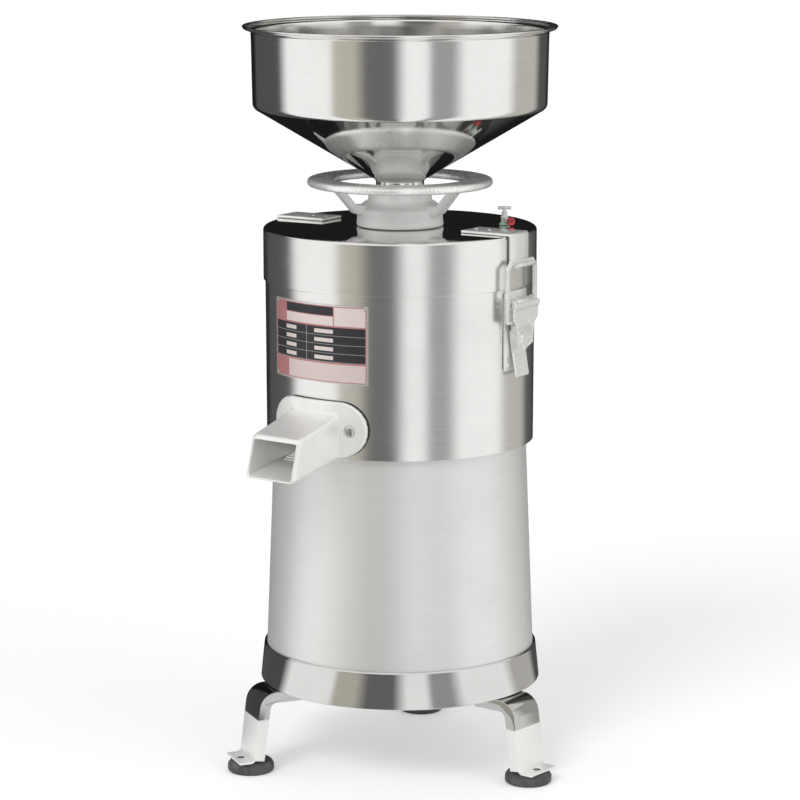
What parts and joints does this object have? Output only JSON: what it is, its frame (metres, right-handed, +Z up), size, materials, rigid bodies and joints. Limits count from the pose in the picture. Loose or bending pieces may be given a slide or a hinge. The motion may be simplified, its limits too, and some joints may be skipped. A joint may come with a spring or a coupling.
{
  "type": "soy milk grinder",
  "caption": "Upright soy milk grinder with a feed hopper, hand wheel, grinding chamber with outlet spouts, latched cover and conical motor casing on legs",
  "frame": {"origin": "on the floor, under the middle of the machine's box; the machine axis stands 10.7 mm to +X and 13 mm to -Y of it", "axes": "+Z is up along the motor axis, -Y is the front, with the milk spout and data plate, and +X is the viewer's right"},
  "size_m": [0.356, 0.4201, 0.8],
  "materials": {
    "polished_steel": "mirror polished stainless steel",
    "brushed_steel": "satin polished stainless steel",
    "satin_casing": "matte stainless sheet",
    "cast_aluminium": "fettled casting",
    "machined_steel": "machined",
    "lamination_steel": "laminated",
    "copper_winding": "enamelled wire",
    "grinding_stone": "coarse abrasive",
    "pad_rubber": "moulded rubber",
    "seal_rubber": "soft seal",
    "black_plastic": "moulded",
    "white_plastic": "moulded",
    "plate_foil": "printed foil with plain colour bands"
  },
  "bodies": {
    "root": {"base_plate": "brushed_steel", "base_ring": "polished_steel", "cable_gland": "black_plastic", "capacitor": "white_plastic", "chamber_bowl": "cast_aluminium", "chamber_skin": "brushed_steel", "cover_casting": "cast_aluminium", "cover_gasket": "seal_rubber", "cover_skin": "polished_steel", "data_plate": "plate_foil", "foot_pad_1": "pad_rubber", "foot_pad_2": "pad_rubber", "foot_pad_3": "pad_rubber", "hook_strap_left": "polished_steel", "hook_strap_right": "polished_steel", "latch_pin_left": "machined_steel", "latch_pin_right": "machined_steel", "latch_plate_left": "polished_steel", "latch_plate_right": "polished_steel", "leg_1": "polished_steel", "leg_2": "polished_steel", "leg_3": "polished_steel", "lower_bearing": "machined_steel", "lower_end_shield": "cast_aluminium", "milk_spout": "cast_aluminium", "milk_spout_gasket": "seal_rubber", "milk_spout_screw_left": "machined_steel", "milk_spout_screw_right": "machined_steel", "motor_casing": "satin_casing", "motor_frame": "cast_aluminium", "power_switch": "black_plastic", "residue_spout": "cast_aluminium", "residue_spout_gasket": "seal_rubber", "residue_spout_screw_left": "machined_steel", "residue_spout_screw_right": "machined_steel", "shaft_seal": "seal_rubber", "stator_core": "lamination_steel", "upper_bearing": "machined_steel", "upper_end_shield": "cast_aluminium", "water_valve": "white_plastic", "winding_lower": "copper_winding", "winding_upper": "copper_winding"},
    "feed_sleeve_group": {"feed_sleeve": "machined_steel", "upper_stone_holder": "cast_aluminium", "upper_stone": "grinding_stone"},
    "hand_wheel_group": {"hand_wheel": "cast_aluminium", "retaining_ring": "machined_steel"},
    "hopper_group": {"hopper": "polished_steel"},
    "rotor_group": {"motor_shaft": "machined_steel", "rotor_core": "lamination_steel", "cooling_fan": "black_plastic", "screen_basket": "brushed_steel", "lower_stone": "grinding_stone", "shaft_nut": "machined_steel"},
    "lever_right": {"latch_lever_right": "polished_steel"},
    "lever_left": {"latch_lever_left": "polished_steel"},
    "loop_right": {"latch_loop_right": "polished_steel"},
    "loop_left": {"latch_loop_left": "polished_steel"},
    "valve_handle_group": {"valve_handle": "white_plastic"},
    "rocker_group": {"switch_rocker": "black_plastic"}
  },
  "joints": [
    {"name": "sleeve_lift", "type": "slide", "parent": "root", "child": "feed_sleeve_group", "axis": [0, 0, 1], "range_m": [0, 0.0045]},
    {"name": "wheel_turn", "type": "hinge", "parent": "feed_sleeve_group", "child": "hand_wheel_group", "pos_m": [0.0107, -0.013, 0.6], "axis": [0, 0, 1], "range_deg": [0, 540]},
    {"name": "hopper_lift", "type": "slide", "parent": "feed_sleeve_group", "child": "hopper_group", "axis": [0, 0, 1], "range_m": [0, 0.06]},
    {"name": "rotor_spin", "type": "hinge", "parent": "root", "child": "rotor_group", "pos_m": [0.0107, -0.013, 0.24], "axis": [0, 0, 1], "continuous": true},
    {"name": "latch_right_open", "type": "hinge", "parent": "root", "child": "lever_right", "pos_m": [0.13801, -0.09568, 0.515], "axis": [-0.5446, -0.8387, 0], "range_deg": [0, 100]},
    {"name": "loop_right_swing", "type": "hinge", "parent": "lever_right", "child": "loop_right", "pos_m": [0.13801, -0.09568, 0.497], "axis": [-0.5446, -0.8387, 0], "range_deg": [-85, 0]},
    {"name": "latch_left_open", "type": "hinge", "parent": "root", "child": "lever_left", "pos_m": [-0.11661, 0.06968, 0.515], "axis": [0.5446, 0.8387, 0], "range_deg": [0, 100]},
    {"name": "loop_left_swing", "type": "hinge", "parent": "lever_left", "child": "loop_left", "pos_m": [-0.11661, 0.06968, 0.497], "axis": [0.5446, 0.8387, 0], "range_deg": [-85, 0]},
    {"name": "valve_turn", "type": "hinge", "parent": "root", "child": "valve_handle_group", "pos_m": [0.12266, -0.01007, 0.6006], "axis": [0, 0, 1], "range_deg": [0, 90]},
    {"name": "switch_rock", "type": "hinge", "parent": "root", "child": "rocker_group", "pos_m": [0.08288, 0.11202, 0.236], "axis": [0.866, -0.5, 0], "range_deg": [0, 16]}
  ],
  "couplings": [
    {"joint": "sleeve_lift", "follows": "wheel_turn", "m_per_rad": 0.00047746},
    {"joint": "loop_right_swing", "follows": "latch_right_open", "ratio": -0.85},
    {"joint": "loop_left_swing", "follows": "latch_left_open", "ratio": -0.85}
  ]
}
